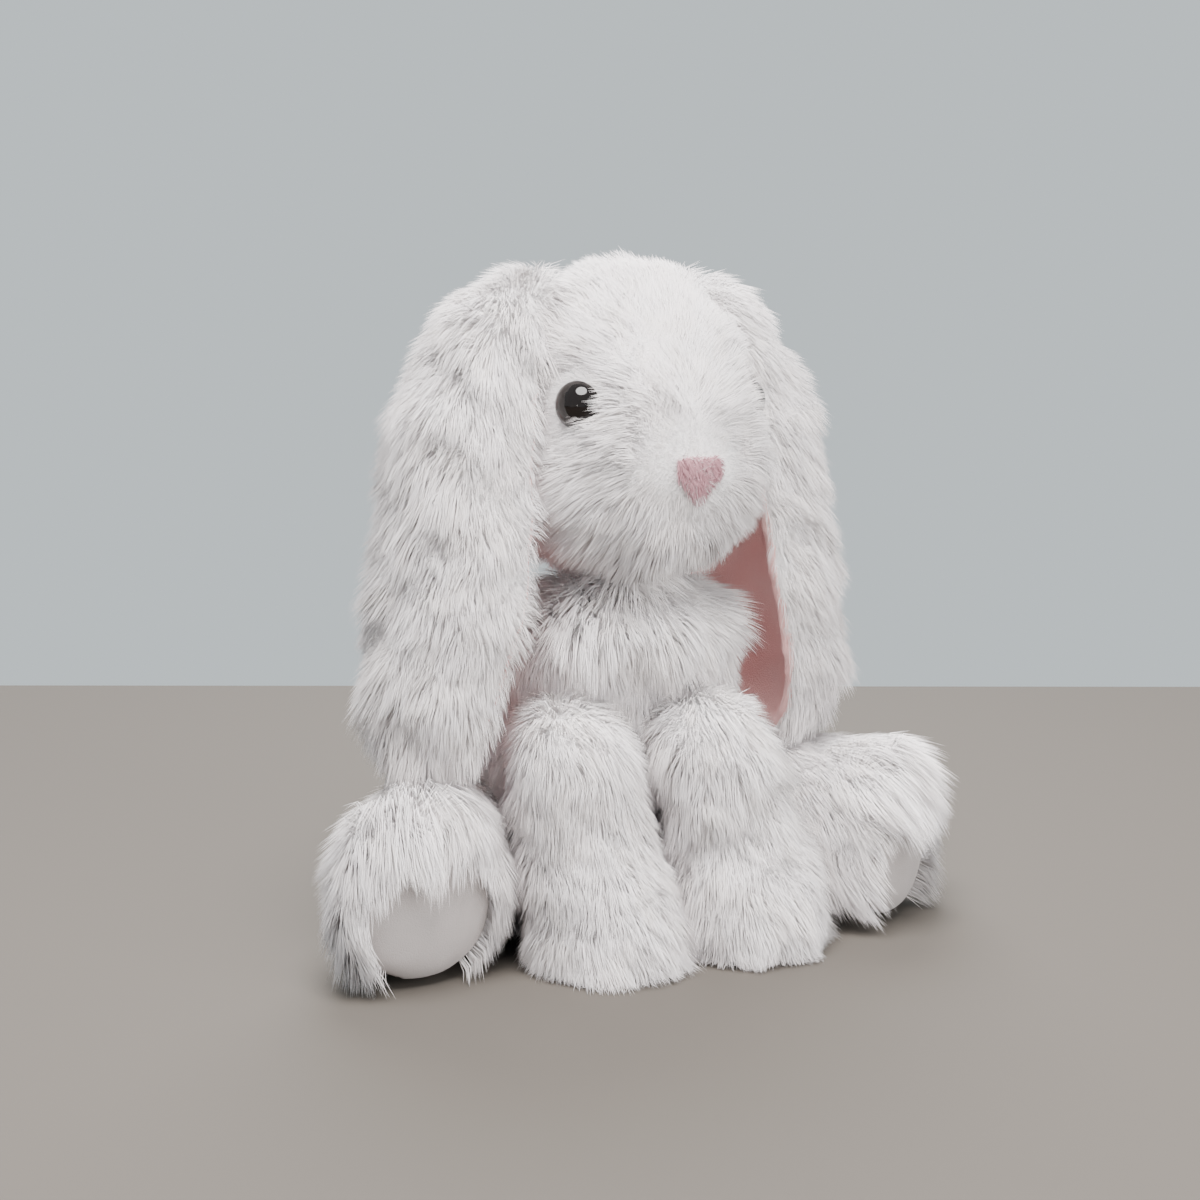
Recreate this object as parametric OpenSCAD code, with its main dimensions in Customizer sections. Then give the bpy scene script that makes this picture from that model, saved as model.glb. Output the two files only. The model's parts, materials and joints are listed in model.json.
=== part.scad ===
// Sitting plush rabbit with long lop ears: sewn fur covers, filling, pellet pouch, plastic eyes.
// Millimetres, +Z up. The rabbit faces -Y and its own left side is +X.
// The origin is on the table, under the middle of the body.

/* [Cloth and gaps] */
// Thickness of the fur cloth, backing and pressed pile together
fur_cloth = 2.5; // [1.5:0.25:3]
// Thickness of the smooth cloth of the soles, the seat and the ear linings
smooth_cloth = 1.6; // [1:0.2:2.4]
// Clearance between the filling and the cloth around it
fill_gap = 0.25; // [0.2:0.05:0.5]
// Clearance between a limb and the body that it is sewn to
limb_gap = 0.8; // [0.6:0.1:1.5]

/* [Body] */
// Height of the body from the table to the neck
body_h = 112; // [95:1:130]
// Half of the body's width at the haunches
haunch_half_w = 50; // [44:1:62]
// Half of the body's width at the chest
chest_half_w = 38; // [34:0.5:46]
// Reach of the rump behind the body's axis
rump_reach = 42; // [36:1:52]
// Reach of the belly in front of the body's axis
belly_reach = 31; // [27:1:36]

/* [Neck] */
// Radius of the ball of filling in the neck
neck_r = 12; // [9:0.5:15]

/* [Head] */
// Height of the head from chin to crown
head_h = 90; // [78:1:104]
// Gap between the body and the chin
chin_gap = 6.5; // [5:0.5:10]
// Half of the head's width at the cheeks
cheek_half_w = 38; // [32:0.5:44]
// Reach of the muzzle in front of the head's axis
muzzle_reach = 41; // [35:0.5:47]
// Reach of the back of the head behind its axis
nape_reach = 38; // [32:0.5:44]
// Width of the panel that runs over the middle of the head
gusset_w = 26; // [18:1:34]
// Angle by which the head is turned to the rabbit's left
head_turn = 12; // [-20:1:20]

/* [Eyes and nose] */
// Diameter of the domed plastic eye
eye_d = 14; // [10:0.5:18]
// Height of the dome of the eye
eye_dome = 4.5; // [3:0.5:6.5]
// Diameter of the eye's shank
shank_d = 4; // [3:0.5:5]
// Diameter of the washer that locks the shank
washer_d = 12; // [9:0.5:15]
// Angle of the eyes from straight ahead
eye_angle = 54; // [40:1:62]
// Distance of the eyes below the crown
eye_drop = 40; // [36:1:44]
// Width of the pink nose
nose_w = 13.5; // [10:0.5:18]
// Height of the pink nose
nose_h = 11.5; // [8:0.5:15]
// Height of the nose above the chin
nose_rise = 28; // [24:1:34]

/* [Ears] */
// Gap between the tips of the ears and the tops of the feet
ear_tip_gap = 3; // [2:0.5:20]
// Half of the ear's width at its widest, front to back
ear_half_w = 26; // [20:0.5:29]
// Depth of the ear's hollow
ear_cup = 21; // [16:0.5:24]
// Distance of the ear's hollow side from the middle of the head
ear_out = 41; // [38:0.5:48]
// Distance of the ear's middle behind the head's axis
ear_back = 7; // [0:0.5:9]
// Thickness of the ear
ear_t = 10; // [7:0.5:12]

/* [Front legs] */
// Half of a front leg's width
leg_half_w = 18; // [13:0.5:19]
// Half of a front leg's thickness, front to back
leg_half_t = 15; // [12:0.5:17]
// Distance of a front leg from the middle of the body
leg_x = 23.5; // [23:0.5:29]
// Height of the shoulder above the table
shoulder_h = 80; // [70:1:88]
// Half of a front paw's width
paw_half_w = 22.3; // [18:0.1:22.4]
// Reach of the front paw in front of the leg
paw_reach = 12; // [6:1:16]
// Lean of the front legs: paws to the rabbit's left and shoulders to its right, each by this much
leg_lean = 7; // [0:0.5:9]
// Distance of the front legs in front of the body
leg_front = 2.5; // [1:0.5:6]

/* [Hind legs] */
// Half of the thigh's width where it meets the body
hip_r = 21; // [16:0.5:24]
// Height of the foot from heel to toe
foot_h = 54; // [48:1:62]
// Half of the foot's width
foot_half_w = 26; // [21:0.5:28]
// Distance of the hip from the middle of the body
hip_x = 54; // [46:1:60]
// Distance of the hip in front of the middle of the seat
hip_front = 2; // [-8:1:10]
// Distance of the right sole from the middle of the body
right_foot_x = 75; // [68:1:84]
// Reach of the right sole in front of the hip
right_foot_reach = 58; // [48:1:66]
// Angle of the right sole from straight ahead
right_foot_turn = -10; // [-14:1:40]
// Distance of the left sole from the middle of the body
left_foot_x = 93; // [76:1:98]
// Reach of the left sole in front of the hip
left_foot_reach = 43; // [36:1:56]
// Angle of the left sole from straight ahead
left_foot_turn = 43; // [10:1:56]

/* [Tail] */
// Radius of the round tail
tail_r = 14; // [9:0.5:18]
// Height of the tail's centre above the table
tail_z = 28; // [22:1:40]

/* [Seat weight] */
// Half of the pellet pouch's width
pouch_half_w = 28; // [22:1:32]
// Height of the pellet pouch
pouch_h = 20; // [16:1:26]
// Thickness of the pouch's cloth
pouch_cloth = 0.8; // [0.6:0.1:1.2]

/* [Hidden] */

white = [0.93, 0.91, 0.91];
cream = [0.88, 0.85, 0.83];
pink = [0.93, 0.62, 0.60];
fill = [0.97, 0.97, 0.95];
sides = 20;       // points in each ring of a soft form
cap_steps = 3;    // rings in each rounded end
mid_steps = 4;    // steps between the rounded ends
round_fn = 40;
far = 400;        // longer than the rabbit, for cutting

// ---- Smooth forms through a few sections ----
// A section is [x, y, z, half width, depth behind, depth in front].

// The section at share t of the way along the list k.
function between(k, t) =
    let(n = len(k) - 1, i = max(0, min(floor(t * n), n - 1)), f = t * n - i,
        a = k[max(i - 1, 0)], b = k[i], c = k[i + 1], d = k[min(i + 2, n)])
    0.5 * (2 * b + (c - a) * f + (2 * a - 5 * b + 4 * c - d) * f * f
        + (3 * b - a - 3 * c + d) * f * f * f);

// Share of the full radius at distance d from an end that is rounded over length r.
function rounding(d, r) = d >= r ? 1 : sqrt(max(0, 1 - pow((r - d) / r, 2)));

// Distances along a form of length l at which its rings lie.
function stations(l, r0, r1) = concat(
    [for (j = [1 : cap_steps]) r0 * (1 - cos(90 * j / cap_steps))],
    [for (j = [1 : mid_steps - 1]) r0 + (l - r0 - r1) * j / mid_steps],
    [for (j = [cap_steps : -1 : 1]) l - r1 * (1 - cos(90 * j / cap_steps))]
);

// One ring of points round the section s, with its radii grown by g and then scaled by e.
function ring(s, u, v, g, e) = [
    for (j = [0 : sides - 1])
        let(a = 360 * j / sides, depth = sin(a) > 0 ? s[4] : s[5])
        [s[0], s[1], s[2]] + u * (s[3] + g) * e * cos(a) + v * (depth + g) * e * sin(a)
];

// Joins the rings into one closed solid that ends at the points start and end.
module skin(start, rings, end) {
    n = len(rings);
    points = concat([start], [for (r = rings) for (p = r) p], [end]);
    last = len(points) - 1;
    faces = concat(
        [for (j = [0 : sides - 1]) [0, 1 + j, 1 + (j + 1) % sides]],
        [for (i = [0 : n - 2]) for (j = [0 : sides - 1])
            let(a = 1 + i * sides + j, b = 1 + i * sides + (j + 1) % sides)
            [a, a + sides, b + sides, b]],
        [for (j = [0 : sides - 1])
            [last, 1 + (n - 1) * sides + (j + 1) % sides, 1 + (n - 1) * sides + j]]
    );
    polyhedron(points, faces, convexity = 6);
}

// A closed form of length l through the sections k, with ends rounded over r0 and r1.
// u and v are the directions of a section's width and depth, and w, which is u x v, runs
// along the form.
// g grows it on all sides.
module soft_form(k, l, r0, r1, u, v, w, g = 0) {
    long = l + 2 * g;
    at = stations(long, r0 + g, r1 + g);
    rings = [for (d = at)
        let(s = between(k, min(1, max(0, (d - g) / l))), over = d - g - min(l, max(0, d - g)))
        [for (p = ring(s, u, v, g, min(rounding(d, r0 + g), rounding(long - d, r1 + g)))) p + w * over]];
    first = k[0];
    last = k[len(k) - 1];
    skin([first[0], first[1], first[2]] - w * g, rings, [last[0], last[1], last[2]] + w * g);
}

// A flat oval, half_w to each side and half_d to the front and the back.
module oval(half_w, half_d) {
    polygon([for (j = [0 : round_fn - 1])
        let(a = 360 * j / round_fn) [half_w * cos(a), half_d * sin(a)]]);
}

// Keeps what lies above height z.
module above(z) {
    intersection() {
        children();
        translate([-far / 2, -far / 2, z]) cube(far);
    }
}

// side is 1 for the rabbit's left and -1 for its right.
module on_side(side) {
    if (side > 0) children();
    else mirror([1, 0, 0]) children();
}

// ---- Body ----
seat_y = 14;
chest_x = -3;       // the chest leans a little to its right
chest_y = -8;       // and forward of the seat
neck_x = -2;        // the head leans a little to its right
neck_y = -15;
body_round = 21;    // rounding of the shoulders
seat_inset = 6;     // the body's foot is this much smaller than the haunches, all round
seat_rim = 4;       // width of the fur round the seat panel
split_y = 14;       // side seams of the body
neck_z = body_h;

body_keys = [
    [0, seat_y, 0, haunch_half_w - seat_inset, rump_reach - seat_inset, belly_reach - seat_inset],
    [0, seat_y, body_h / 5, haunch_half_w, rump_reach, belly_reach],
    [0, seat_y - 3, body_h * 2 / 5, haunch_half_w - 2, rump_reach - 3, belly_reach - 2],
    [0, (seat_y + chest_y) / 2, body_h * 3 / 5, chest_half_w + 4, rump_reach - 8, belly_reach - 5],
    [chest_x, chest_y, body_h * 4 / 5, chest_half_w, rump_reach - 10, belly_reach - 6],
    [neck_x, neck_y, body_h, chest_half_w - 3, rump_reach - 12, belly_reach - 6]
];

module body_form(g) {
    levels = 6;         // rings below the rounded shoulders
    top = body_h + g;
    at = concat([for (j = [0 : levels]) (body_h - body_round) * j / levels],
        [for (j = [cap_steps : -1 : 1]) top - (body_round + g) * (1 - cos(90 * j / (cap_steps + 1)))]);
    rings = [for (z = at)
        let(s = between(body_keys, min(1, z / body_h)))
        [for (p = ring(s, [1, 0, 0], [0, 1, 0], g, rounding(top - z, body_round + g))) [p[0], p[1], z]]];
    skin([0, seat_y, 0], rings, [neck_x, neck_y, top]);
}

// Where the front of the body lies at height z.
function body_front(z) = let(s = between(body_keys, z / body_h)) s[1] - s[5];

module neck_ball(g) {
    translate([neck_x, neck_y, neck_z]) sphere(r = neck_r + g, $fn = round_fn);
}

module body_cover() {
    difference() {
        body_form(0);
        above(smooth_cloth) body_form(-fur_cloth);
        translate([0, 0, -1]) linear_extrude(smooth_cloth + 1) seat_outline();
        neck_ball(limb_gap);
    }
}

module seat_outline() {
    r = haunch_half_w - seat_inset - seat_rim;
    translate([0, seat_y]) oval(r, r * (rump_reach + belly_reach) / (2 * haunch_half_w));
}

module behind_seam(g) {
    translate([-far / 2, split_y + g, -far / 2]) cube(far);
}

module body_front_panel() {
    color(white) difference() {
        body_cover();
        behind_seam(0);
    }
}

module body_back_panel(side) {
    color(white) intersection() {
        body_cover();
        behind_seam(0);
        translate([side > 0 ? 0 : -far, -far / 2, -far / 2]) cube(far);
    }
}

module seat_panel() {
    color(cream) linear_extrude(smooth_cloth) seat_outline();
}

module body_stuffing() {
    color(fill) difference() {
        above(smooth_cloth + fill_gap) body_form(-fur_cloth - fill_gap);
        pouch_form(fill_gap);
        neck_ball(limb_gap);
    }
}

// ---- Pellet pouch ----
pouch_floor = smooth_cloth + 3;
pouch_y = seat_y + (rump_reach - belly_reach) / 2;

module pouch_form(g) {
    translate([0, pouch_y, pouch_floor - g]) {
        rotate_extrude($fn = round_fn) intersection() {
            translate([0, pouch_h / 2 + g]) scale([1, 0.5]) circle(r = pouch_half_w + g, $fn = round_fn);
            square([far, pouch_h + 2 * g]);
        }
    }
}

module pellet_pouch() {
    color(cream) difference() {
        pouch_form(0);
        pouch_form(-pouch_cloth);
    }
}

module pellet_filling() {
    color("beige") pouch_form(-pouch_cloth - fill_gap);
}

// ---- Neck ----
module neck_stuffing() {
    color(fill) neck_ball(0);
}

// ---- Head ----
chin_z = body_h + chin_gap;
crown_round = 34;
chin_round = 26;

head_keys = [
    [0, 0, 0, cheek_half_w - 3, nape_reach - 6, muzzle_reach - 4],
    [0, 0, head_h / 4, cheek_half_w, nape_reach - 1, muzzle_reach],
    [0, 0, head_h / 2, cheek_half_w - 0.5, nape_reach, muzzle_reach - 2],
    [0, 0, head_h * 3 / 4, cheek_half_w - 3, nape_reach - 1, muzzle_reach - 8],
    [0, 0, head_h, cheek_half_w - 6, nape_reach - 5, muzzle_reach - 13]
];

module head_place() {
    translate([neck_x, neck_y, chin_z]) rotate([0, 0, head_turn]) children();
}

module head_form(g) {
    soft_form(head_keys, head_h, chin_round, crown_round, [1, 0, 0], [0, 1, 0], [0, 0, 1], g);
}

// How far the head reaches at height z above the chin, at angle a from straight ahead.
function head_reach(z, a) =
    let(s = between(head_keys, z / head_h),
        e = min(rounding(z, chin_round), rounding(head_h - z, crown_round)))
    e / sqrt(pow(sin(a) / s[3], 2) + pow(cos(a) / s[5], 2));

module head_cover() {
    head_place() difference() {
        head_form(0);
        head_form(-fur_cloth);
        for (side = [-1, 1]) eye_bore(side, 0.1);
    }
}

module head_neck_hole() {
    neck_ball(limb_gap);
}

module gusset_zone() {
    head_place() translate([-gusset_w / 2, -far / 2, -far / 2]) cube([gusset_w, far, far]);
}

module head_gusset() {
    color(white) difference() {
        intersection() {
            head_cover();
            gusset_zone();
        }
        head_neck_hole();
    }
}

module head_side_panel(side) {
    color(white) difference() {
        intersection() {
            head_cover();
            head_place() translate([side > 0 ? gusset_w / 2 : -far - gusset_w / 2, -far / 2, -far / 2])
                cube(far);
        }
        head_neck_hole();
    }
}

module head_stuffing() {
    color(fill) difference() {
        head_place() difference() {
            head_form(-fur_cloth - fill_gap);
            for (side = [-1, 1]) eye_pocket(side);
        }
        neck_ball(limb_gap);
    }
}

// ---- Eyes ----
washer_t = 2;
washer_gap = 0.15 * washer_d;       // the cloth curves away from the flat washer
shank_len = fur_cloth + washer_gap + washer_t + 2;
eye_seat = 0.065 * eye_d;           // the dome's rim stands this far off the sloping cloth
eye_rise = head_h - eye_drop;
eye_reach = head_reach(eye_rise, eye_angle);
dome_r = (pow(eye_d / 2, 2) + pow(eye_dome, 2)) / (2 * eye_dome);

// Places a thing at an eye, with +Z out of the head.
module at_eye(side) {
    rotate([0, 0, side * eye_angle]) translate([0, -eye_reach, eye_rise]) rotate([90, 0, 0]) children();
}

module eye_bore(side, g) {
    at_eye(side) translate([0, 0, -shank_len - 4]) cylinder(d = shank_d + 2 * g, h = shank_len + 8, $fn = round_fn);
}

module eye_pocket(side) {
    at_eye(side) translate([0, 0, -shank_len - 2]) cylinder(d = washer_d + 1, h = shank_len + 4, $fn = round_fn);
}

module eye(side) {
    color([0.12, 0.09, 0.08]) head_place() at_eye(side) {
        intersection() {
            translate([0, 0, eye_dome - dome_r + eye_seat]) sphere(r = dome_r, $fn = round_fn);
            translate([0, 0, eye_seat]) cylinder(d = eye_d + 1, h = eye_dome + 1, $fn = round_fn);
        }
        translate([0, 0, -shank_len]) cylinder(d = shank_d, h = shank_len + eye_seat + 0.1, $fn = round_fn);
    }
}

module eye_washer(side) {
    color([0.9, 0.9, 0.88]) head_place() at_eye(side)
        translate([0, 0, -fur_cloth - washer_gap - washer_t]) difference() {
            cylinder(d = washer_d, h = washer_t, $fn = round_fn);
            translate([0, 0, -1]) cylinder(d = shank_d, h = washer_t + 2, $fn = round_fn);
        }
}

// ---- Nose ----
nose_t = 1.2;

module nose_patch() {
    color(pink) head_place() difference() {
        intersection() {
            head_form(nose_t + 0.05);
            translate([0, 0, nose_rise]) rotate([90, 0, 0]) linear_extrude(far / 2)
                offset(r = 2, $fn = round_fn) polygon([
                    [-nose_w / 2 + 2, nose_h / 2 - 2], [nose_w / 2 - 2, nose_h / 2 - 2], [0, 2 - nose_h / 2]
                ]);
        }
        head_form(0.05);
    }
}

// ---- Ears ----
root_z = head_h - 3;
ear_len = chin_z + root_z - foot_h - ear_tip_gap;
hollow_rim = 5;         // width of the fur rim round the lining
hollow_top = 0.16;      // share of the ear's length above the hollow
bulge = ear_cup + ear_t;

// Each section is flat on the side of the head and bulges away from it.
ear_keys = [
    [ear_out - 19, ear_back + 2, root_z, ear_half_w - 14, bulge * 0.62, 2],
    [ear_out - 6, ear_back + 2, root_z - ear_len / 6, ear_half_w - 6, bulge * 0.94, 2],
    [ear_out - 1, ear_back + 1, root_z - ear_len * 2 / 6, ear_half_w - 3, bulge, 2],
    [ear_out + 1, ear_back, root_z - ear_len * 3 / 6, ear_half_w - 1, bulge, 2],
    [ear_out + 5, ear_back - 1, root_z - ear_len * 4 / 6, ear_half_w, bulge, 2],
    [ear_out + 13, ear_back - 1, root_z - ear_len * 5 / 6, ear_half_w - 3, bulge * 0.86, 2],
    [ear_out + 20, ear_back - 2, root_z - ear_len, ear_half_w - 13, bulge * 0.5, 2]
];
hollow_keys = [for (j = [0 : 5])
    let(s = between(ear_keys, hollow_top + (0.95 - hollow_top) * j / 5))
    [s[0] - 2, s[1], s[2], s[3] - hollow_rim, s[4] - ear_t + 2, 6]];
hollow_len = ear_len * (0.95 - hollow_top);

module ear_form(g) {
    soft_form(ear_keys, ear_len, 13, 24, [0, 1, 0], [1, 0, 0], [0, 0, -1], g);
}

module ear_hollow(g) {
    soft_form(hollow_keys, hollow_len, 14, 20, [0, 1, 0], [1, 0, 0], [0, 0, -1], g);
}

module ear_fur(side) {
    color(white) head_place() on_side(side) difference() {
        ear_form(0);
        ear_hollow(smooth_cloth);
        head_form(limb_gap);
    }
}

module ear_lining(side) {
    color(pink) head_place() on_side(side) difference() {
        intersection() {
            ear_form(0);
            ear_hollow(smooth_cloth);
        }
        ear_hollow(0);
        head_form(limb_gap);
    }
}

// ---- Front legs ----
paw_y = seat_y - belly_reach - leg_half_t - leg_front;
shoulder_out = 6.3;     // the leg's axis is this far in front of the body at the shoulder
shoulder_y = body_front(shoulder_h) - shoulder_out;

function leg_keys(side) = let(lean = side * leg_lean) [
    [leg_x + lean, paw_y, 0, paw_half_w - 2, leg_half_t, leg_half_t + paw_reach - 2],
    [leg_x + lean * 0.85, paw_y, shoulder_h * 0.25, paw_half_w - 1, leg_half_t, leg_half_t + paw_reach * 0.6],
    [leg_x + lean * 0.2, paw_y, shoulder_h * 0.5, leg_half_w, leg_half_t, leg_half_t],
    [leg_x - 1 - lean * 0.5, shoulder_y, shoulder_h * 0.75, leg_half_w - 0.5, leg_half_t, leg_half_t],
    [leg_x - 1 - lean * 0.9, shoulder_y + 2, shoulder_h, leg_half_w - 2, leg_half_t, leg_half_t - 1]
];

module leg_form(side, g) {
    keys = leg_keys(side);
    levels = 5;
    crown = 17;         // rounding of the shoulder end
    top = shoulder_h + g;
    at = concat([for (j = [0 : levels]) (shoulder_h - crown) * j / levels],
        [for (j = [cap_steps : -1 : 1]) top - (crown + g) * (1 - cos(90 * j / (cap_steps + 1)))]);
    rings = [for (z = at)
        let(s = between(keys, min(1, z / shoulder_h)))
        [for (p = ring(s, [1, 0, 0], [0, 1, 0], g, rounding(top - z, crown + g))) [p[0], p[1], z]]];
    first = keys[0];
    last = keys[len(keys) - 1];
    skin([first[0], first[1], 0], rings, [last[0], last[1], top]);
}

module paw_sole_form(side) {
    translate([leg_keys(side)[0][0], paw_y - (paw_reach - 2) / 2, 0])
        linear_extrude(smooth_cloth) oval(paw_half_w - 5, leg_half_t + paw_reach / 2 - 4);
}

// The leg stops short of the body.
module clear_of_body() {
    difference() {
        children();
        body_form(limb_gap);
    }
}

module front_leg_cover(side) {
    color(white) on_side(side) clear_of_body() difference() {
        leg_form(side, 0);
        above(smooth_cloth) leg_form(side, -fur_cloth);
        translate([0, 0, -1]) scale([1, 1, 2]) paw_sole_form(side);
    }
}

module front_leg_sole(side) {
    color(cream) on_side(side) paw_sole_form(side);
}

module front_leg_stuffing(side) {
    color(fill) on_side(side) difference() {
        above(smooth_cloth + fill_gap) leg_form(side, -fur_cloth - fill_gap);
        body_form(limb_gap + fur_cloth);
    }
}

// ---- Hind legs ----
// A hind leg is drawn with its sole at the origin, facing -Y, then turned and put in place.
foot_z = foot_h / 2;
hip_y = seat_y - hip_front;
toe_round = 9;          // rounding of the foot round its sole
hip_round = 13;         // rounding of the leg at the hip
sole_rim = 3.5;         // width of the fur below the sole
sole_side = 7.5;        // width of the fur beside the sole
sole_in = 3;            // the sole lies this much towards the other foot
sole_drop = 6;          // the sole lies this much below the middle of the foot

function foot_turn(side) = side > 0 ? left_foot_turn : right_foot_turn;
function foot_x(side) = side > 0 ? left_foot_x : right_foot_x;
function foot_reach(side) = side > 0 ? left_foot_reach : right_foot_reach;

// The hip as seen from the sole, outwards and backwards.
function hip_from_sole(side) =
    let(dx = hip_x - foot_x(side), dy = foot_reach(side), a = foot_turn(side))
    [dx * cos(a) + dy * sin(a), dy * cos(a) - dx * sin(a)];

function hind_keys(side) = let(h = hip_from_sole(side)) [
    [h[0], h[1], foot_z, hip_r, foot_z, foot_z - 1],
    [h[0] * 0.75, h[1] * 0.75, foot_z, hip_r + 2, foot_z, foot_z - 1],
    [h[0] * 0.45, h[1] * 0.5, foot_z, foot_half_w - 1, foot_z, foot_z - 1],
    [h[0] * 0.15, h[1] * 0.25, foot_z, foot_half_w, foot_z + 1.5, foot_z - 0.5],
    [0, 0, foot_z, foot_half_w - 2, foot_z - 1, foot_z - 1.5]
];

module hind_form(side, g) {
    soft_form(hind_keys(side), hip_from_sole(side)[1], hip_round, toe_round,
        [1, 0, 0], [0, 0, 1], [0, -1, 0], g);
}

module hind_place(side) {
    on_side(side) translate([foot_x(side), hip_y - foot_reach(side), 0])
        rotate([0, 0, foot_turn(side)]) children();
}

module hind_sole_zone() {
    translate([-sole_in, toe_round, foot_z - sole_drop]) rotate([90, 0, 0])
        linear_extrude(far / 4) oval(foot_half_w - sole_side, foot_z - sole_rim - sole_drop);
}

module hind_leg_cover(side) {
    color(white) clear_of_body() hind_place(side) above(0) difference() {
        hind_form(side, 0);
        hind_form(side, -fur_cloth);
        hind_sole_zone();
    }
}

module hind_leg_sole(side) {
    color(cream) hind_place(side) above(0) intersection() {
        difference() {
            hind_form(side, 0);
            hind_form(side, -smooth_cloth);
        }
        hind_sole_zone();
    }
}

module hind_leg_stuffing(side) {
    color(fill) difference() {
        hind_place(side) above(fill_gap) hind_form(side, -fur_cloth - fill_gap);
        body_form(limb_gap + fur_cloth);
    }
}

// ---- Tail ----
tail_y = seat_y + rump_reach - 4;
tail_len = 2 * tail_r + 2;

module tail_ball(g) {
    ends = [for (y = [0, tail_len]) [0, tail_y + y, tail_z, tail_r, tail_r, tail_r]];
    soft_form(ends, tail_len, tail_r, tail_r, [1, 0, 0], [0, 0, -1], [0, 1, 0], g);
}

module tail_cover() {
    color(white) clear_of_body() difference() {
        tail_ball(0);
        tail_ball(-fur_cloth);
    }
}

module tail_stuffing() {
    color(fill) difference() {
        tail_ball(-fur_cloth - fill_gap);
        body_form(limb_gap + fur_cloth);
    }
}

body_front_panel();
body_back_panel(1);  // body_back_left_panel
body_back_panel(-1);  // body_back_right_panel
seat_panel();
body_stuffing();
pellet_pouch();
pellet_filling();
neck_stuffing();
head_gusset();
head_side_panel(1);  // head_left_panel
head_side_panel(-1);  // head_right_panel
head_stuffing();
nose_patch();
eye(1);  // eye_left
eye(-1);  // eye_right
eye_washer(1);  // eye_washer_left
eye_washer(-1);  // eye_washer_right
ear_fur(1);  // ear_left_fur
ear_lining(1);  // ear_left_lining
ear_fur(-1);  // ear_right_fur
ear_lining(-1);  // ear_right_lining
front_leg_cover(1);  // front_leg_left_cover
front_leg_sole(1);  // front_leg_left_sole
front_leg_stuffing(1);  // front_leg_left_stuffing
front_leg_cover(-1);  // front_leg_right_cover
front_leg_sole(-1);  // front_leg_right_sole
front_leg_stuffing(-1);  // front_leg_right_stuffing
hind_leg_cover(1);  // hind_leg_left_cover
hind_leg_sole(1);  // hind_leg_left_sole
hind_leg_stuffing(1);  // hind_leg_left_stuffing
hind_leg_cover(-1);  // hind_leg_right_cover
hind_leg_sole(-1);  // hind_leg_right_sole
hind_leg_stuffing(-1);  // hind_leg_right_stuffing
tail_cover();
tail_stuffing();
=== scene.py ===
"""Sitting plush rabbit: puffed skins, long white pile, pink ear linings, glossy eyes."""
import json
import math

import bpy
import numpy as np
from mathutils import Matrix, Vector, kdtree
from mathutils.bvhtree import BVHTree


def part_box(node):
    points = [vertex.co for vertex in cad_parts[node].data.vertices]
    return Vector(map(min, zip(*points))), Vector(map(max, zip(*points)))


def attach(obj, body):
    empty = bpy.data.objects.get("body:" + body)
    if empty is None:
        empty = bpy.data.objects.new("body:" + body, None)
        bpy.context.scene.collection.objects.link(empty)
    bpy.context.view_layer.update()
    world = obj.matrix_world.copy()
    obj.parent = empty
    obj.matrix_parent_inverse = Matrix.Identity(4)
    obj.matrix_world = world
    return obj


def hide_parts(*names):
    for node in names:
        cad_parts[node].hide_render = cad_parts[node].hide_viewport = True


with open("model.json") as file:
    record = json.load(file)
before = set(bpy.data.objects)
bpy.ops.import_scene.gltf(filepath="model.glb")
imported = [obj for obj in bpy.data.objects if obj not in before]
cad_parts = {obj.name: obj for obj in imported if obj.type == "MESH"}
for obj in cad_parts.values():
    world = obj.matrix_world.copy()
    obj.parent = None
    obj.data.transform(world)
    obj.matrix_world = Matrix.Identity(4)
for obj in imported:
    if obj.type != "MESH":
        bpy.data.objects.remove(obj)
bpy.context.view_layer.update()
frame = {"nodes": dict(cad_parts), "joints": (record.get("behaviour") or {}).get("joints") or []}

MM = 0.001
UP = np.array([0.0, 0.0, 1.0])
SEED = 7
AZIMUTH = math.radians(-21)     # the camera and the floor are turned this far round the rabbit


# ---- Camera, floor and light ----
def make_camera():
    distance = 0.625        # to the origin, along the table
    height = 0.193
    pitch = math.radians(8)
    yaw = 0.0065            # the rabbit's axis is a little right of the middle
    lens = bpy.data.cameras.new("camera")
    lens.lens = 60
    lens.sensor_width = 36
    lens.clip_start = 0.01
    camera = bpy.data.objects.new("camera", lens)
    bpy.context.scene.collection.objects.link(camera)
    camera.location = (math.sin(AZIMUTH) * distance, -math.cos(AZIMUTH) * distance, height)
    camera.rotation_euler = (math.radians(90) - pitch, 0, AZIMUTH + yaw)
    bpy.context.scene.camera = camera


def make_light(name, place, size, power, colour):
    data = bpy.data.lights.new(name, "AREA")
    data.shape = "DISK"
    data.size = size
    data.energy = power
    data.color = colour
    lamp = bpy.data.objects.new(name, data)
    bpy.context.scene.collection.objects.link(lamp)
    lamp.location = place
    lamp.rotation_euler = (Vector((0, 0, 0.1)) - Vector(place)).to_track_quat("-Z", "Y").to_euler()


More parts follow.
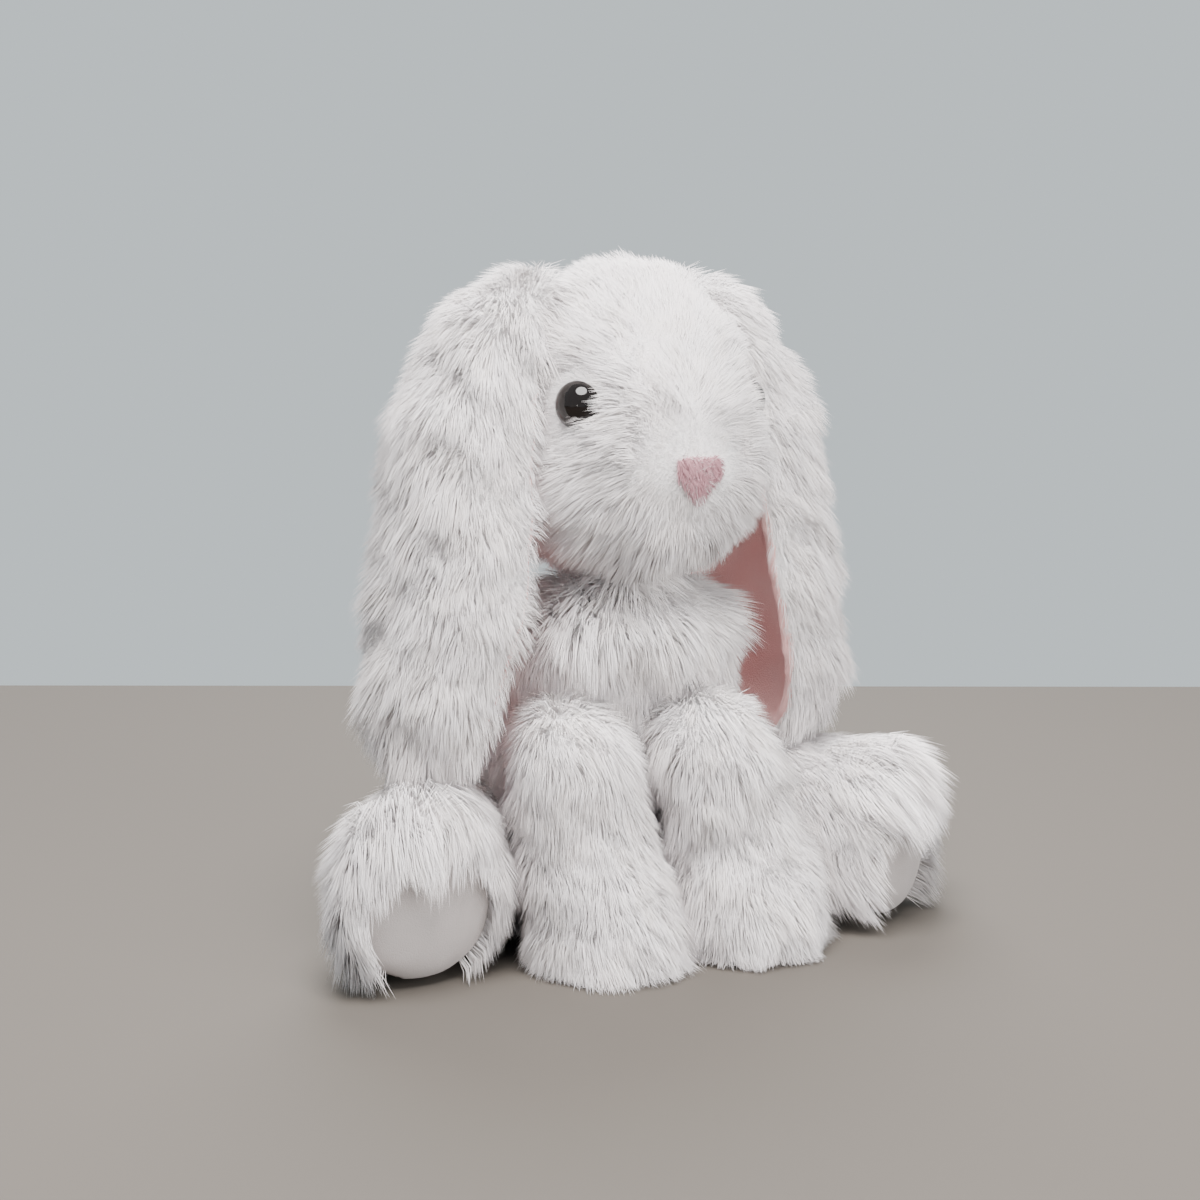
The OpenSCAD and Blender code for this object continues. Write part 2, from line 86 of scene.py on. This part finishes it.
def make_studio():
    make_light("key", (-0.25, -0.62, 1.55), 1.1, 80, (1.0, 0.975, 0.95))
    make_light("fill", (0.6, -1.6, 0.5), 1.2, 24, (1.0, 0.975, 0.95))
    make_light("back", (0.3, 0.9, 1.3), 1.1, 34, (1.0, 0.985, 0.975))
    world = bpy.data.worlds.new("studio")
    bpy.context.scene.world = world
    world.use_nodes = True
    world.node_tree.nodes["Background"].inputs["Color"].default_value = (0.86, 0.95, 0.99, 1)
    world.node_tree.nodes["Background"].inputs["Strength"].default_value = 0.80
    half, front, back = 2.5, 1.5, 0.42
    mesh = bpy.data.meshes.new("floor")
    corners = [(-half, -front, 0), (half, -front, 0), (half, back, 0), (-half, back, 0)]
    mesh.from_pydata(corners, [], [(0, 1, 2, 3)])
    floor = bpy.data.objects.new("floor", mesh)
    bpy.context.scene.collection.objects.link(floor)
    floor.rotation_euler = (0, 0, AZIMUTH)
    floor.data.materials.append(plain("floor", (0.108, 0.095, 0.083), 0.75))


# ---- Materials ----
def plain(name, colour, roughness, sheen=0.0):
    material = bpy.data.materials.new(name)
    material.use_nodes = True
    shader = material.node_tree.nodes["Principled BSDF"]
    shader.inputs["Base Color"].default_value = (*colour, 1)
    shader.inputs["Roughness"].default_value = roughness
    shader.inputs["Specular IOR Level"].default_value = 0.25
    shader.inputs["Sheen Weight"].default_value = sheen
    shader.inputs["Sheen Roughness"].default_value = 0.5
    return material


def mottled(name, dark, light, scale, bump_scale, bump, roughness=0.9, sheen=0.2):
    """Cloth whose colour and height vary with two sizes of noise."""
    material = plain(name, light, roughness, sheen)
    nodes = material.node_tree.nodes
    links = material.node_tree.links
    shader = nodes["Principled BSDF"]
    place = nodes.new("ShaderNodeTexCoord")
    broad = nodes.new("ShaderNodeTexNoise")
    broad.inputs["Scale"].default_value = scale
    broad.inputs["Detail"].default_value = 4
    ramp = nodes.new("ShaderNodeValToRGB")
    ramp.color_ramp.elements[0].position = 0.3
    ramp.color_ramp.elements[0].color = (*dark, 1)
    ramp.color_ramp.elements[1].position = 0.7
    ramp.color_ramp.elements[1].color = (*light, 1)
    fine = nodes.new("ShaderNodeTexNoise")
    fine.inputs["Scale"].default_value = bump_scale
    fine.inputs["Detail"].default_value = 3
    lift = nodes.new("ShaderNodeBump")
    lift.inputs["Strength"].default_value = bump
    lift.inputs["Distance"].default_value = 0.0008
    links.new(place.outputs["Object"], broad.inputs["Vector"])
    links.new(place.outputs["Object"], fine.inputs["Vector"])
    links.new(broad.outputs["Fac"], ramp.inputs["Fac"])
    links.new(ramp.outputs["Color"], shader.inputs["Base Color"])
    links.new(fine.outputs["Fac"], lift.inputs["Height"])
    links.new(lift.outputs["Normal"], shader.inputs["Normal"])
    return material


def eye_material():
    material = mottled("eye_plastic", (0.003, 0.002, 0.002), (0.008, 0.005, 0.004), 60, 300, 0.0, 0.06, 0)
    shader = material.node_tree.nodes["Principled BSDF"]
    shader.inputs["Specular IOR Level"].default_value = 0.3
    shader.inputs["Coat Weight"].default_value = 0.2
    shader.inputs["Coat Roughness"].default_value = 0.03
    return material


# ---- Skins: the outer form of a body's covers, puffed as cloth over filling ----
def world_copy(names):
    """One mesh with the faces of all the named CAD nodes."""
    verts, faces = [], []
    for name in names:
        mesh = frame["nodes"][name].data
        base = len(verts)
        verts += [v.co.copy() for v in mesh.vertices]
        faces += [[base + i for i in p.vertices] for p in mesh.polygons]
    mesh = bpy.data.meshes.new("copy")
    mesh.from_pydata(verts, [], faces)
    obj = bpy.data.objects.new("copy", mesh)
    bpy.context.scene.collection.objects.link(obj)
    return obj


def applied(obj):
    """Applies the object's modifiers."""
    bpy.context.view_layer.update()
    graph = bpy.context.evaluated_depsgraph_get()
    mesh = bpy.data.meshes.new_from_object(obj.evaluated_get(graph))
    obj.modifiers.clear()
    old = obj.data
    obj.data = mesh
    bpy.data.meshes.remove(old)
    return obj


def points(obj):
    co = np.empty(len(obj.data.vertices) * 3)
    obj.data.vertices.foreach_get("co", co)
    return co.reshape(-1, 3)


def set_points(obj, co):
    obj.data.vertices.foreach_set("co", co.ravel())
    obj.data.update()


def keep_outer(obj):
    """Keeps the largest connected surface, which is the outside."""
    mesh = obj.data
    parent = np.arange(len(mesh.vertices))
    edges = np.empty(len(mesh.edges) * 2, int)
    mesh.edges.foreach_get("vertices", edges)
    edges = edges.reshape(-1, 2)
    while True:
        low = np.minimum(parent[edges[:, 0]], parent[edges[:, 1]])
        before = parent.copy()
        np.minimum.at(parent, edges[:, 0], low)
        np.minimum.at(parent, edges[:, 1], low)
        parent = parent[parent]
        if (parent == before).all():
            break
    labels, counts = np.unique(parent, return_counts=True)
    co = points(obj)
    spans = [np.ptp(co[parent == label], axis=0).prod() if count > 50 else 0
             for label, count in zip(labels, counts)]
    best = labels[int(np.argmax(spans))]
    keep = np.flatnonzero(parent == best)
    index = -np.ones(len(parent), int)
    index[keep] = np.arange(len(keep))
    faces = [[int(index[i]) for i in p.vertices] for p in mesh.polygons if index[p.vertices[0]] >= 0]
    new = bpy.data.meshes.new("outer")
    new.from_pydata([tuple(c) for c in co[keep]], [], faces)
    obj.data = new
    return obj


FRAMES = 12     # length of the cloth simulation


def skin(name, nodes, body, puff=4.0, cap=2.2 * MM, voxel=2.6 * MM, smooth=8, shrink=0.6 * MM, flat=True):
    """A stuffed cover: the nodes' common outside, remeshed, puffed by cloth pressure and subdivided."""
    obj = world_copy(nodes)
    obj.name = name
    remesh = obj.modifiers.new("remesh", "REMESH")
    remesh.mode = "VOXEL"
    remesh.voxel_size = voxel
    applied(obj)
    keep_outer(obj)
    relax = obj.modifiers.new("relax", "SMOOTH")
    relax.factor = 0.5
    relax.iterations = smooth
    applied(obj)
    start = points(obj)
    normals = np.empty(len(start) * 3)
    obj.data.vertices.foreach_get("normal", normals)
    begin = start - normals.reshape(-1, 3) * shrink
    set_points(obj, begin)
    cloth = obj.modifiers.new("cloth", "CLOTH")
    cloth.settings.quality = 5
    cloth.settings.mass = 0.2
    cloth.settings.tension_stiffness = 15
    cloth.settings.compression_stiffness = 15
    cloth.settings.bending_stiffness = 0.6
    cloth.settings.use_pressure = True
    cloth.settings.uniform_pressure_force = puff
    cloth.settings.effector_weights.gravity = 0
    cloth.collision_settings.use_collision = False
    cloth.point_cache.frame_start = 1
    cloth.point_cache.frame_end = FRAMES
    scene = bpy.context.scene
    for number in range(1, FRAMES + 1):
        scene.frame_set(number)
    applied(obj)
    scene.frame_set(1)
    moved = points(obj) - start
    length = np.linalg.norm(moved, axis=1, keepdims=True)
    set_points(obj, start + moved * np.minimum(1, cap / np.maximum(length, 1e-9)))
    finer = obj.modifiers.new("finer", "SUBSURF")
    finer.levels = 1
    applied(obj)
    co = points(obj)
    if flat:
        co[:, 2] = np.maximum(co[:, 2], 0.2 * MM)
        set_points(obj, co)
    for polygon in obj.data.polygons:
        polygon.use_smooth = True
    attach(obj, body)
    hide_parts(*nodes)
    return obj


# ---- Pile: every hair is a thin closed spike of real faces ----
def waves(seed, size, count=14):
    """A smooth random field of three numbers, whose bumps are about size across."""
    rng = np.random.default_rng(seed)
    way = rng.normal(size=(count, 3))
    length = np.linalg.norm(way, axis=1, keepdims=True)
    way *= (2 * math.pi / size) / length * rng.uniform(0.6, 1.5, (count, 1))
    phase = rng.uniform(0, 2 * math.pi, (3, count))
    gain = 1.4 / math.sqrt(count)
    return lambda p: np.stack([np.sin(p @ way.T + phase[i]).sum(1) * gain for i in range(3)], 1)


def unit(v):
    return v / np.maximum(np.linalg.norm(v, axis=1, keepdims=True), 1e-9)


def surface(obj):
    """The triangles of a mesh: their corners, normals and areas."""
    mesh = obj.data
    mesh.calc_loop_triangles()
    tri = np.empty(len(mesh.loop_triangles) * 3, int)
    mesh.loop_triangles.foreach_get("vertices", tri)
    corners = points(obj)[tri.reshape(-1, 3)]
    cross = np.cross(corners[:, 1] - corners[:, 0], corners[:, 2] - corners[:, 0])
    area = np.linalg.norm(cross, axis=1) / 2
    normals = np.empty(len(mesh.vertices) * 3)
    mesh.vertices.foreach_get("normal", normals)
    return corners, normals.reshape(-1, 3)[tri.reshape(-1, 3)], area


def scatter(obj, density, seed):
    """Random points on a mesh, density of them to a square millimetre, with their normals."""
    rng = np.random.default_rng(seed)
    corners, normals, area = surface(obj)
    total = int(area.sum() / MM ** 2 * density)
    pick = rng.choice(len(area), total, p=area / area.sum())
    a, b = rng.uniform(size=(2, total))
    a, b = np.where(a + b > 1, 1 - a, a), np.where(a + b > 1, 1 - b, b)
    share = np.stack([1 - a - b, a, b], 1)[:, :, None]
    return (corners[pick] * share).sum(1), unit((normals[pick] * share).sum(1)), rng


def fur(name, obj, body, length, density, lie, keep=None, scale=None, stand=0.62, width=0.42 * MM,
        materials=(), seed=1, clump=5.0 * MM, floor=True, droop=0.28):
    """Pile on obj. lie(points, normals) is the way the pile lies, and stand how far it stands up.
    keep(points, normals) says where hairs grow, and scale(points, normals) how long they are there."""
    root, normal, rng = scatter(obj, density, SEED * 1000 + seed)
    if keep is not None:
        chosen = keep(root, normal)
        root, normal = root[chosen], normal[chosen]
    count = len(root)
    along = lie(root, normal)
    along = unit(along - normal * (along * normal).sum(1, keepdims=True))
    tuft = waves(seed * 31 + 1, 17 * MM)(root)
    tousle = waves(seed * 31 + 2, 7 * MM)(root)
    way = normal * stand + along * (1 - stand) * 1.1 + tuft * 0.11 + tousle * 0.08
    way += rng.normal(scale=0.07, size=(count, 3))
    way = unit(way - normal * np.minimum(0, (way * normal).sum(1, keepdims=True) - 0.25))
    size = length * rng.uniform(0.72, 1.12, count) * (1 + 0.16 * waves(seed * 31 + 3, 22 * MM)(root)[:, 0])
    if scale is not None:
        size = size * scale(root, normal)
    size = size[:, None]
    tip = root + way * size
    middle = root + way * size * 0.52 + normal * size * 0.05
    tip = tip + unit(along * 0.7 - UP * 0.5) * size * droop
    picks = rng.choice(count, max(8, int(count * (MM / clump) ** 2 / density)), replace=False)
    centre_of = kdtree.KDTree(len(picks))
    for i, pick in enumerate(picks):
        centre_of.insert(root[pick], i)
    centre_of.balance()
    nearest = picks[np.array([centre_of.find(p)[1] for p in root])]
    pull = rng.uniform(0.02, 0.28, count)[:, None]
    tip = tip + (tip[nearest] - tip) * pull
    middle = middle + (middle[nearest] - middle) * pull * 0.35
    if floor:
        low = 0.35 * MM
        middle[:, 2] = np.maximum(middle[:, 2], low + 1.2 * MM * rng.uniform(size=count) ** 2)
        tip[:, 2] = np.maximum(tip[:, 2], low + 2.4 * MM * rng.uniform(size=count) ** 2)
    side = unit(np.cross(way, rng.normal(size=(count, 3))))
    other = unit(np.cross(way, side))
    thick = width * rng.uniform(0.7, 1.25, count)[:, None] * np.clip(size / length, 0.5, 1)
    lit = unit(np.stack([normal[:, 0], normal[:, 1], np.maximum(normal[:, 2], -0.1) + 0.15], 1))
    rings, shading = [], []
    for centre, share in ((root - normal * 0.3 * MM, 0.5), (middle, 0.42)):
        for turn in range(3):
            angle = turn * 2 * math.pi / 3
            out = side * math.cos(angle) + other * math.sin(angle)
            rings.append(centre + out * thick * share)
            shading.append(unit(lit + out * 0.12))
    co = np.stack(rings + [tip], 1)
    shading = np.stack(shading + [lit], 1)
    local = np.array([[0, 1, 4], [0, 4, 3], [1, 2, 5], [1, 5, 4], [2, 0, 3], [2, 3, 5],
                      [3, 4, 6], [4, 5, 6], [5, 3, 6], [0, 2, 1]])
    shade = rng.integers(0, len(materials), max(8, len(picks)))
    tone = shade[np.searchsorted(np.sort(picks), nearest)] if len(materials) > 1 else np.zeros(count, int)
    return strands(name, co, shading, local, tone, materials, body)


def strands(name, co, shading, local, tone, materials, body):
    """Makes the pile's pieces from its hairs' points, in order of height."""
    most = 19000        # hairs in a piece
    order = np.argsort(co[:, 0, 2], kind="stable")
    made = []
    parts = max(1, math.ceil(len(co) / most))
    for part, rows in enumerate(np.array_split(order, parts)):
        count = len(rows)
        mesh = bpy.data.meshes.new(name)
        mesh.vertices.add(count * co.shape[1])
        mesh.vertices.foreach_set("co", co[rows].ravel())
        faces = (local[None] + (np.arange(count) * co.shape[1])[:, None, None]).reshape(-1, 3)
        mesh.loops.add(faces.size)
        mesh.loops.foreach_set("vertex_index", faces.ravel().astype(np.int32))
        mesh.polygons.add(len(faces))
        mesh.polygons.foreach_set("loop_start", np.arange(0, faces.size, 3, dtype=np.int32))
        for material in materials:
            mesh.materials.append(material)
        mesh.polygons.foreach_set("material_index", np.repeat(tone[rows], len(local)).astype(np.int32))
        mesh.polygons.foreach_set("use_smooth", np.ones(len(faces), bool))
        mesh.update()
        mesh.normals_split_custom_set_from_vertices(shading[rows].reshape(-1, 3))
        obj = bpy.data.objects.new(name if parts == 1 else f"{name}_{part + 1}", mesh)
        bpy.context.scene.collection.objects.link(obj)
        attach(obj, body)
        made.append(obj)
    return made


def distance_to(node):
    """A function that gives how far points are from a CAD node's surface."""
    mesh = frame["nodes"][node].data
    tree = BVHTree.FromPolygons([v.co for v in mesh.vertices], [list(p.vertices) for p in mesh.polygons])
    return lambda p: np.array([tree.find_nearest(Vector(q))[3] for q in p])


def patch(name, source, chosen, body, material, lift, thick, nodes):
    """A sewn-on piece of thin cloth: a copy of the source's chosen faces, lifted off it and given thickness.
    chosen(points, normals) says which faces it covers."""
    mesh = source.data
    count = len(mesh.polygons)
    centre, normal = np.empty(count * 3), np.empty(count * 3)
    mesh.polygons.foreach_get("center", centre)
    mesh.polygons.foreach_get("normal", normal)
    taken = chosen(centre.reshape(-1, 3), normal.reshape(-1, 3))
    co = points(source)
    vertex_normal = np.empty(len(co) * 3)
    mesh.vertices.foreach_get("normal", vertex_normal)
    outer = co + vertex_normal.reshape(-1, 3) * lift
    outer[:, 2] = np.maximum(outer[:, 2], 0.1 * MM)
    faces = [list(p.vertices) for p, yes in zip(mesh.polygons, taken) if yes]
    used = sorted({i for f in faces for i in f})
    index = {v: i for i, v in enumerate(used)}
    new = bpy.data.meshes.new(name)
    new.from_pydata([tuple(outer[i]) for i in used], [], [[index[i] for i in f] for f in faces])
    obj = bpy.data.objects.new(name, new)
    bpy.context.scene.collection.objects.link(obj)
    relax = obj.modifiers.new("relax", "SMOOTH")
    relax.iterations = 4
    solid = obj.modifiers.new("thickness", "SOLIDIFY")
    solid.thickness = thick
    solid.offset = -1
    applied(obj)
    for polygon in obj.data.polygons:
        polygon.use_smooth = True
    obj.data.materials.clear()
    obj.data.materials.append(material)
    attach(obj, body)
    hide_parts(*nodes)
    return obj


def dressed(obj, material):
    obj.data.materials.clear()
    obj.data.materials.append(material)
    return obj


def middle_of(node):
    low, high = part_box(node)
    return np.array((low + high) / 2)


def fuller(full):
    return full


def lying(way):
    """The same way for every hair to lie."""
    return lambda p, n: np.tile(way, (len(p), 1))


hanging = lying(-UP)


# ---- Scene ----
make_camera()
make_studio()

skin_white = mottled("skin_white", (0.88, 0.85, 0.85), (0.95, 0.93, 0.93), 45, 900, 0.6)
sole_cloth = mottled("sole_cloth", (0.46, 0.415, 0.405), (0.53, 0.48, 0.47), 60, 2600, 0.35)
lining_cloth = mottled("lining_cloth", (0.93, 0.49, 0.47), (0.95, 0.60, 0.58), 50, 2600, 0.4)
nose_cloth = mottled("nose_cloth", (0.56, 0.28, 0.32), (0.64, 0.38, 0.42), 200, 2600, 0.5)
washer = mottled("washer_plastic", (0.80, 0.80, 0.77), (0.86, 0.86, 0.83), 90, 900, 0.1, 0.5, 0)
filling = mottled("fibre_filling", (0.88, 0.88, 0.86), (0.95, 0.95, 0.93), 60, 700, 0.8)
eye_dark = eye_material()
hair_tones = [plain("hair_white", (0.97, 0.915, 0.92), 0.8), plain("hair_cool", (0.96, 0.91, 0.92), 0.8),
              plain("hair_warm", (0.97, 0.91, 0.905), 0.8)]
nose_hair = [plain("hair_pink", (0.57, 0.30, 0.34), 0.85)]

DENSITY = fuller(2.5)
WIDTH = fuller(0.30 * MM)

neck = np.array(next(j for j in frame["joints"] if j["name"] == "neck_turn")["pos_m"])
nose_at = middle_of("nose_patch")
facing = nose_at - neck
facing[2] = 0
facing /= np.linalg.norm(facing)
eyes_at = [middle_of("eye_left"), middle_of("eye_right")]


# Body
body_nodes = ["body_front_panel", "body_back_left_panel", "body_back_right_panel", "seat_panel",
              "body_stuffing", "pellet_pouch", "pellet_filling"]
body = dressed(skin("body_skin", body_nodes, "torso"), skin_white)
shoulder_z = points(body)[:, 2].max() - 16 * MM
fur("body_pile", body, "torso", 7.5 * MM, DENSITY, hanging,
    keep=lambda p, n: n[:, 2] > -0.6, materials=hair_tones, seed=1, width=WIDTH,
    scale=lambda p, n: 1 + 0.85 * np.clip((p[:, 2] - shoulder_z) / (10 * MM), 0, 1))

# Tail
tail = dressed(skin("tail_skin", ["tail_cover", "tail_stuffing"], "torso"), skin_white)
fur("tail_pile", tail, "torso", 9 * MM, DENSITY, lying([0, 0.7, -0.7]),
    materials=hair_tones, seed=2, width=WIDTH, stand=0.9)

# Head
head_nodes = ["head_gusset", "head_left_panel", "head_right_panel", "head_stuffing"]
head = dressed(skin("head_skin", head_nodes, "head", flat=False), skin_white)
nose_gap = distance_to("nose_patch")


def eye_gap(p):
    return np.min([np.linalg.norm(p - e, axis=1) for e in eyes_at], axis=0)


def before_eye(p):
    """1 on the nose's side of an eye and 0 on its other side."""
    near = np.argmin([np.linalg.norm(p - e, axis=1) for e in eyes_at], axis=0)
    way = unit(nose_at - np.array(eyes_at))[near]
    return np.clip(((p - np.array(eyes_at)[near]) * way).sum(1) / (7 * MM), 0, 1)


def head_length(p, n):
    by_eye = np.clip((eye_gap(p) - 5 * MM) / (11 * MM), 0.42 + 0.4 * before_eye(p), 1)
    by_nose = np.clip(nose_gap(p) / (16 * MM), 0.3, 1)
    below = 1 + 0.12 * np.clip(-n[:, 2] - 0.2, 0, 0.6) / 0.6
    beside = 1 + 0.32 * before_eye(p) * np.clip((20 * MM - eye_gap(p)) / (6 * MM), 0, 1)
    return 0.95 * np.minimum(by_eye, by_nose) * below * beside


def head_lie(p, n):
    return unit(p - nose_at) - 0.35 * UP


fur("head_pile", head, "head", 8 * MM, DENSITY * 1.1, head_lie,
    keep=lambda p, n: (eye_gap(p) > 6.3 * MM) & (nose_gap(p) > 0.8 * MM),
    scale=head_length, materials=hair_tones, seed=3, width=WIDTH, floor=False)
nose = patch("nose_skin", head, lambda p, n: nose_gap(p) < 1.6 * MM, "head", nose_cloth,
             0.9 * MM, 1.4 * MM, ["nose_patch"])
fur("nose_pile", nose, "head", 2.0 * MM, 9, hanging, keep=lambda p, n: (n @ facing) > 0.3,
    materials=nose_hair, seed=4, width=0.22 * MM, floor=False, clump=1.2 * MM)

# Eyes keep their exact domes
for side in ("left", "right"):
    dressed(frame["nodes"]["eye_" + side], eye_dark)
    dressed(frame["nodes"]["eye_washer_" + side], washer)

# Neck
neck_cover = dressed(skin("neck_skin", ["neck_stuffing"], "neck", flat=False), filling)
fur("neck_pile", neck_cover, "neck", 16 * MM, DENSITY, hanging,
    materials=hair_tones, seed=20, width=WIDTH, floor=False, stand=0.85)

# Ears
for number, side in enumerate(("left", "right")):
    ear_body = "ear_" + side
    ear_skin = skin(f"ear_{side}_skin", [f"ear_{side}_fur", f"ear_{side}_lining"], ear_body, puff=2, smooth=5,
                    cap=1.2 * MM, voxel=2.2 * MM, flat=False)
    ear = dressed(ear_skin, skin_white)
    lining_gap = distance_to(f"ear_{side}_lining")
    inward = neck - middle_of(f"ear_{side}_fur")
    inward[2] = 0
    inward /= np.linalg.norm(inward)

    def hollow(p, n, gap=lining_gap, way=inward, reach=1.5 * MM):
        return (gap(p) < reach) & ((n @ way) > -0.2)

    tip_z = points(ear)[:, 2].min()

    def ear_length(p, n, gap=lining_gap, low=tip_z):
        by_edge = np.clip(0.45 + gap(p) / (12 * MM), 0.45, 1)
        by_tip = 0.35 * np.clip(1 - (p[:, 2] - low) / (25 * MM), 0, 1)
        return by_edge + by_tip

    fur(f"ear_{side}_pile", ear, ear_body, 9.5 * MM, DENSITY, hanging, keep=lambda p, n: ~hollow(p, n),
        materials=hair_tones, seed=5 + number, width=WIDTH, floor=False, scale=ear_length)
    patch(f"ear_{side}_lining_skin", ear, lambda p, n: hollow(p, n, reach=2.2 * MM), ear_body,
          lining_cloth, 0.5 * MM, 1.0 * MM, [f"ear_{side}_lining"])



def leg_skin(leg_body):
    nodes = [leg_body + "_cover", leg_body + "_sole", leg_body + "_stuffing"]
    return dressed(skin(leg_body + "_skin", nodes, leg_body), skin_white)


# Front legs
for number, side in enumerate(("left", "right")):
    leg_body = "front_leg_" + side
    leg = leg_skin(leg_body)
    patch(leg_body + "_sole_skin", leg, lambda p, n: (n[:, 2] < -0.8) & (p[:, 2] < 2 * MM), leg_body,
          sole_cloth, 0.1 * MM, 1.2 * MM, [leg_body + "_sole"])
    fur(leg_body + "_pile", leg, leg_body, 8.5 * MM, DENSITY, lying([0, -0.35, -0.8]),
        keep=lambda p, n: n[:, 2] > -0.75, materials=hair_tones, seed=7 + number, width=WIDTH,
        scale=lambda p, n: 1 + 0.3 * np.clip(1 - p[:, 2] / (25 * MM), 0, 1))

# Hind legs
for number, side in enumerate(("left", "right")):
    leg_body = "hind_leg_" + side
    leg = leg_skin(leg_body)
    sole_at = middle_of(leg_body + "_sole")
    toe = sole_at - middle_of(leg_body + "_stuffing")
    toe[2] = 0
    toe /= np.linalg.norm(toe)
    sole_gap = distance_to(leg_body + "_sole")

    def on_sole(p, n, gap=sole_gap, way=toe, reach=1.2 * MM):
        return (gap(p) < reach) & ((n @ way) > 0.3)

    patch(leg_body + "_sole_skin", leg, lambda p, n: on_sole(p, n, reach=2.0 * MM), leg_body,
          sole_cloth, 0.5 * MM, 1.2 * MM, [leg_body + "_sole"])
    top_z = points(leg)[:, 2].max()

    def toe_length(p, n, way=toe, at=sole_at, high=top_z):
        front = np.clip(1 + (p - at) @ way / (16 * MM), 0, 1)
        above = np.clip(1 - (high - p[:, 2]) / (22 * MM), 0, 1)
        return 1 + 1.15 * front * above

    fur(leg_body + "_pile", leg, leg_body, 9 * MM, DENSITY, lying(toe * 0.8 - UP * 0.5),
        keep=lambda p, n: ~on_sole(p, n) & (n[:, 2] > -0.75), materials=hair_tones, seed=9 + number,
        width=WIDTH, scale=toe_length, droop=0.45)
